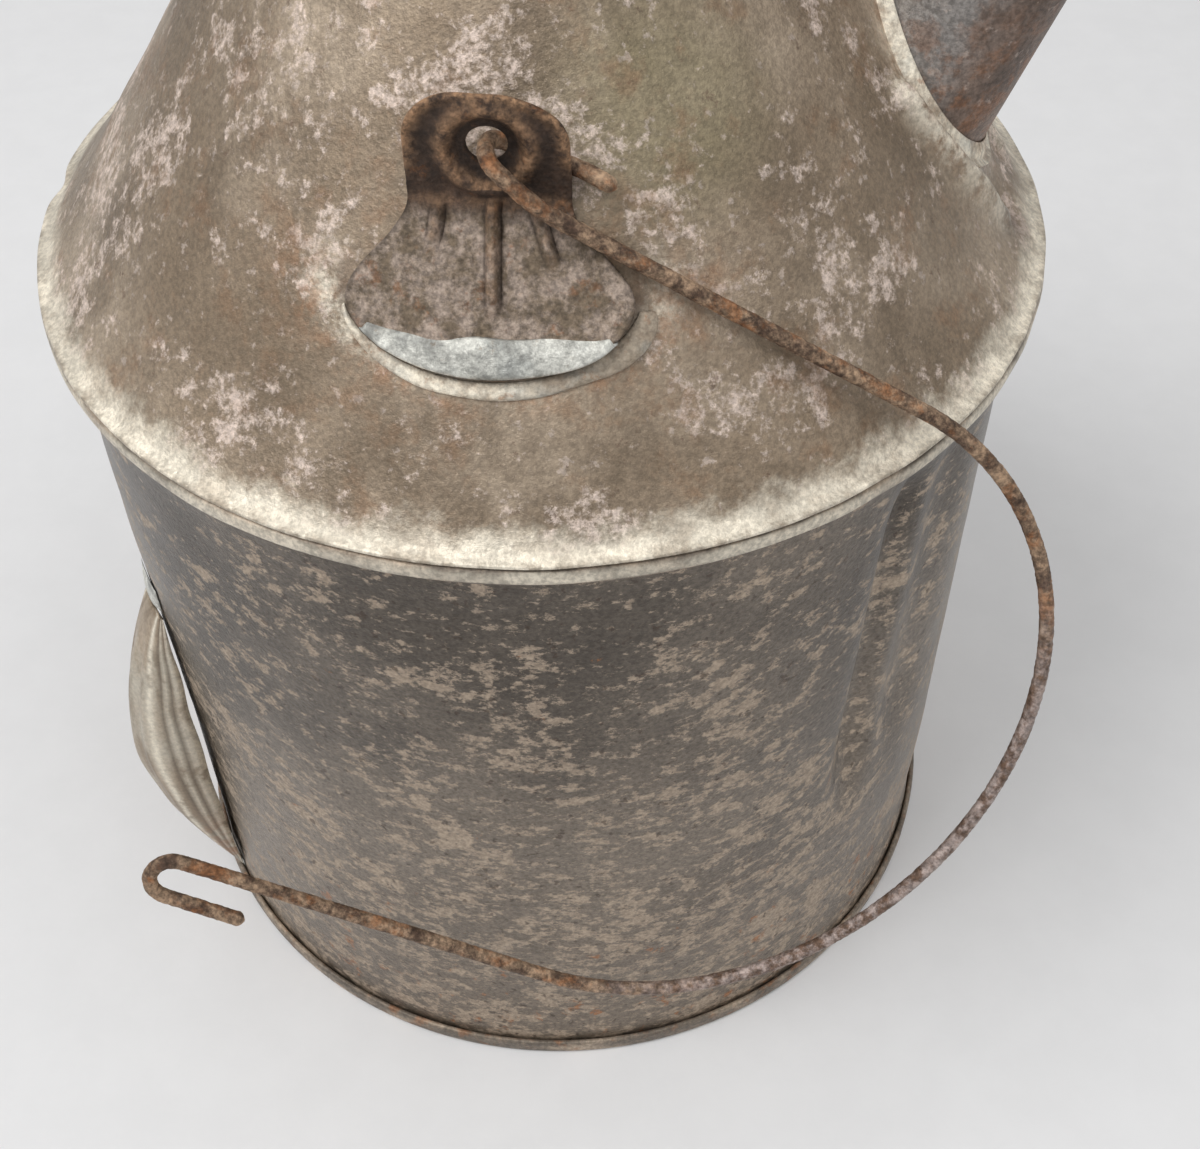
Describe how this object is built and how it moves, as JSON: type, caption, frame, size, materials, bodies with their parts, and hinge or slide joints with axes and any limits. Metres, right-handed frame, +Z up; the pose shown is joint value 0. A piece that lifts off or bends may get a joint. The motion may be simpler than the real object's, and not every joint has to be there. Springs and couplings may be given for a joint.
{
  "type": "lamp-oil can",
  "caption": "Old tinned-sheet lamp-oil can: cylindrical body, steep cone shoulder, leaning spout, slip cap, loose wire bail on ears and a low tipping handle.",
  "frame": {"origin": "middle of the underside of the base plate, on the can's vertical axis", "axes": "+Z up the can's axis, +X towards the side the spout leans to, -Y towards the ear that holds the bail wire"},
  "size_m": [0.2454, 0.2448, 0.3521],
  "materials": {
    "tin": "dull zinc-coated sheet, grey-brown oxide with pinkish-beige blotches",
    "bright": "the same sheet rubbed pale along folds and beads",
    "solder": "matte light grey solder with rough runs",
    "spout_iron": "dark brown tarnished sheet",
    "ear_iron": "dark brown rust with orange edges",
    "wire": "rough rusty iron wire, smoother and greyer along the bow",
    "cork": "cork disc, matte"
  },
  "bodies": {
    "can": {"body_shell": "tin", "base_plate": "tin", "base_bead": "bright", "body_side_seam": "solder", "rim_fold": "bright", "rim_crimp": "tin", "shoulder_cone": "tin", "shoulder_seam": "solder", "neck_collar": "tin", "neck_bead": "bright", "neck_solder": "solder", "spout_tube": "spout_iron", "spout_tip_bead": "spout_iron", "spout_root_solder": "solder", "front_ear": "ear_iron", "front_ear_solder": "solder", "rear_ear": "ear_iron", "rear_ear_solder": "solder", "old_solder_scar": "solder", "tipping_handle": "tin", "handle_top_solder": "solder", "handle_bottom_solder": "solder"},
    "bail": {"bail_wire": "wire"},
    "cap": {"filler_cap": "bright", "cap_edge_bead": "bright", "cap_cork_disc": "cork", "cap_knob": "bright"}
  },
  "joints": [
    {"name": "bail_swing", "type": "hinge", "parent": "can", "child": "bail", "pos_m": [0, -0.0693, 0.2555], "axis": [0, -1, 0], "range_deg": [0, 225]},
    {"name": "cap_lift", "type": "slide", "parent": "can", "child": "cap", "axis": [0, 0, 1], "range_m": [0, 0.03]}
  ]
}
